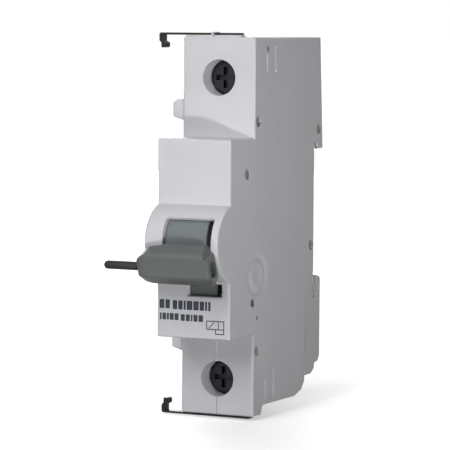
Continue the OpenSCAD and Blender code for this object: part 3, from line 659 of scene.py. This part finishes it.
def stroke(x0, z0, x1, z1, width):
    """A line that reaches past both its points by half its width."""
    along = Vector((x1 - x0, z1 - z0)).normalized() * width / 2
    out = Vector((-along.y, along.x))
    start, end = Vector((x0, z0)) - along, Vector((x1, z1)) + along
    return [start - out, end - out, end + out, start + out]


def word_bars():
    """Two rows of two words each, with a plain bar for every letter."""
    bars = []
    for x, z0, z1, space, widths in (
        (-8.3, -17.6, -15.6, 0.28, (1.2, 1.1)),
        (-5.0, -17.7, -15.7, 0.25, (1.1, 1.1, 0.5, 1.4, 1.3, 1.1, 0.5, 0.6)),
        (-8.2, -20.1, -18.6, 0.2, (0.45, 0.9, 0.5, 1.0, 1.0)),
        (-3.0, -20.2, -18.7, 0.25, (1.0, 1.0, 0.4, 1.0, 1.1)),
    ):
        for width in widths:
            bars.append(bar(x, x + width, z0, z1))
            x += width + space
    return bars


def coil_sign():
    """A box with a slash and a cross-bar, and a smaller box under it."""
    left, right, top, bottom = 3.4, 7.6, -19.9, -21.7
    cross, foot_left, foot = 6.3, 5.6, -22.7
    slash = (4.0, -21.4, 5.2, -20.2)
    thick, thin, apart = 0.22, 0.2, 0.01

    def level(x0, x1, z):
        return stroke(x0, z, x1, z, thick)

    def upright(x, z0, z1, width):
        """Stops just short of the level lines at both ends, so that no two outlines touch."""
        short = (thick + width) / 2 + apart
        return stroke(x, z0 - short, x, z1 + short, width)

    return [
        level(left, right, top), upright(right, top, bottom, thick),
        level(left, right, bottom), upright(left, top, bottom, thick),
        stroke(*slash, thin), upright(cross, top, bottom, thin),
        upright(foot_left, bottom, foot, thick), level(foot_left, right, foot),
        upright(right, bottom, foot, thick)]


def parting_shade():
    """Painted shade of the gap between the shells: a dark sheet in the parting line, from the lower screw hole
    down to the skirt's edge.
    """
    half, hole_gap, edge_gap = 0.06, 0.15, 0.2
    return [bar(-half, half, SKIRT_BOTTOM + edge_gap, min(SCREW_HEIGHTS) - HOLE_R - hole_gap)]


def on_housing(piece):
    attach(piece, "housing")


def printed(name, outlines, front=INK_FRONT, back=INK_BACK):
    """A thin closed plate for each outline: ink on a front face, and in the parting line a dark sheet of painted
    shade.
    """
    bm = bmesh.new()
    for outline in outlines:
        near_ring, far_ring = (
            [bm.verts.new((x * MM, y * MM, z * MM)) for x, z in outline] for y in (front, back))
        bm.faces.new(near_ring)
        bm.faces.new(far_ring[::-1])
        for i in range(len(outline)):
            j = (i + 1) % len(outline)
            bm.faces.new((near_ring[i], far_ring[i], far_ring[j], near_ring[j]))
    on_housing(add_piece(name, bm, INK_AND_PAINTED_SHADE))


printed("printed_rows", word_bars())
printed("printed_coil_sign", coil_sign())
# A dark sheet in the parting line: painted shade of the gap
printed("parting_shade", parting_shade(), SHADE_FRONT, SHADE_BACK)


# Dished dark pieces in the small holes of the right side: painted shade where the holes show only shade

def shade_disc(bm, spot, radius):
    sides = 20
    turns = [2 * math.pi * i / sides for i in range(sides)]
    # Distance inwards and share of the radius, from the middle of the front to the middle of the back
    profile = [(0.35, 0.0), (0.33, 0.45), (0.22, 0.8), (0.12, 0.93), (0.15, 1.0), (0.9, 1.0), (0.9, 0.0)]
    rings = []
    for inward, share in profile:
        ring = []
        for a in turns if share else turns[:1]:
            y, z = spot[0] + radius * share * math.cos(a), spot[1] + radius * share * math.sin(a)
            ring.append(bm.verts.new(((HALF - inward) * MM, y * MM, z * MM)))
        rings.append(ring)
    for inner, outer in zip(rings, rings[1:]):
        for i in range(sides):
            j = (i + 1) % sides
            corners = [ring[k % len(ring)] for ring, k in ((inner, i), (outer, i), (outer, j), (inner, j))]
            bm.faces.new(list(dict.fromkeys(corners)))


def shade_holes(name, look, holes):
    bm = bmesh.new()
    for spot, radius in holes:
        shade_disc(bm, spot, radius)
    bmesh.ops.recalc_face_normals(bm, faces=bm.faces)
    piece = add_piece(name, bm, look)
    shade(piece.data)
    on_housing(piece)


# Painted shade: a dark dished piece in the test hole, and paler ones in the vent and the dimple
shade_holes("painted_shade_test_hole", DEEP_HOLE_SHADE, [(TEST_HOLE, 0.93)])
shade_holes("painted_shade_vent_and_dimple", PALE_HOLE_SHADE, [(VENT, 0.48), (DIMPLE, 0.63)])


# Floor, world and lamps

def seen_by(tree, *rays):
    """A value that is 1 for these kinds of rays and 0 for all others."""
    path = tree.nodes.new("ShaderNodeLightPath")
    value = path.outputs[rays[0]]
    for ray in rays[1:]:
        either = tree.nodes.new("ShaderNodeMath")
        either.operation = "MAXIMUM"
        tree.links.new(value, either.inputs[0])
        tree.links.new(path.outputs[ray], either.inputs[1])
        value = either.outputs[0]
    return value


def paper_tone(s):
    """Pale to the camera, and darker to all other rays, so that little light is thrown back up."""
    dark = grey(0.22)
    mix = s.add("ShaderNodeMix", data_type="RGBA")
    mix.inputs["A"].default_value = (*dark, 1)
    s.link(seen_by(s.tree, "Is Camera Ray"), mix.inputs["Factor"])
    s.link(s.ramp(s.noise(PAPER), [(0.3, grey(0.82)), (0.7, grey(0.84))]), mix.inputs["B"])
    return mix.outputs["Result"]


def paper_glow(s):
    """White to the camera and in reflections, fainter in a long pool round the object as a painted shadow, where
    the object's own shadow also lies.
    """
    painted_shadow_reach, shape, painted_shadow_glow = 45 * MM, (1, 0.15, 1), 0.42
    reach = s.add("ShaderNodeVectorMath", operation="LENGTH")
    s.link(s.scaled(shape), reach.inputs[0])
    strength = s.add("ShaderNodeMath", operation="MULTIPLY")
    s.link(seen_by(s.tree, "Is Camera Ray", "Is Glossy Ray"), strength.inputs[0])
    # The glow fades towards the object: a painted shadow on the floor
    s.link(map_range(s.tree, reach.outputs["Value"], from_max=painted_shadow_reach, to_min=painted_shadow_glow), strength.inputs[1])
    glow = s.add("ShaderNodeEmission")
    glow.inputs["Color"].default_value = (*grey(1), 1)
    s.link(strength.outputs[0], glow.inputs["Strength"])
    return glow.outputs[0]


def floor_paper():
    s = Shader("floor_paper")
    s.set(Roughness=0.9, Specular_IOR_Level=0.1)
    s.colour(paper_tone(s))
    both = s.add("ShaderNodeAddShader")
    s.link(s.bsdf.outputs[0], both.inputs[0])
    s.link(paper_glow(s), both.inputs[1])
    s.link(both.outputs[0], s.nodes["Material Output"].inputs["Surface"])
    return s.material


def lay_floor():
    """A wide floor just below the part, turned to the camera."""
    size, below, middle_y = 80.0, 0.2 * MM, -18 * MM
    bpy.ops.mesh.primitive_plane_add(
        size=size, location=(0, middle_y, cad_low.z - below), rotation=(0, 0, AZIMUTH))
    floor = bpy.context.object
    floor.name = "floor"
    floor.visible_shadow = False
    floor.data.materials.append(floor_paper())


def light_world():
    """White to the camera, in reflections and through clear things, and dim as a light."""
    dim = 0.055
    world = bpy.data.worlds.new("studio")
    bpy.context.scene.world = world
    world.use_nodes = True
    tree = world.node_tree
    sky = tree.nodes["Background"]
    sky.inputs["Color"].default_value = (*grey(1), 1)
    seen = seen_by(tree, "Is Camera Ray", "Is Glossy Ray", "Is Transmission Ray")
    tree.links.new(map_range(tree, seen, to_min=dim), sky.inputs["Strength"])


def add_lamp(name, toward, distance, size, power, aim=(0, 0, 0), spread=180.0):
    """An area lamp in the direction toward, facing the point aim, with a grid of that spread."""
    data = bpy.data.lights.new(name, "AREA")
    data.shape = "ELLIPSE"
    data.size, data.size_y = size
    data.energy = power
    data.spread = math.radians(spread)
    lamp = bpy.data.objects.new(name, data)
    lamp.location = Vector(toward).normalized() * distance
    away = lamp.location - Vector(aim)
    lamp.rotation_euler = away.to_track_quat("Z", "Y").to_euler()
    bpy.context.scene.collection.objects.link(lamp)


lay_floor()
light_world()
add_lamp("key", toward=(-0.06, -1.0, 0.72), distance=0.5, size=(0.24, 0.38), power=1.33)
add_lamp(
    "fill", toward=(0.92, -1.0, -0.29), distance=0.6, size=(0.06, 0.06), power=0.043,
    aim=(0, -0.06, 0.02), spread=30)
add_lamp("back", toward=(-0.8, 1.0, 0.12), distance=1.0, size=(0.5, 0.5), power=5.0)
bpy.context.scene.view_settings.view_transform = "Standard"
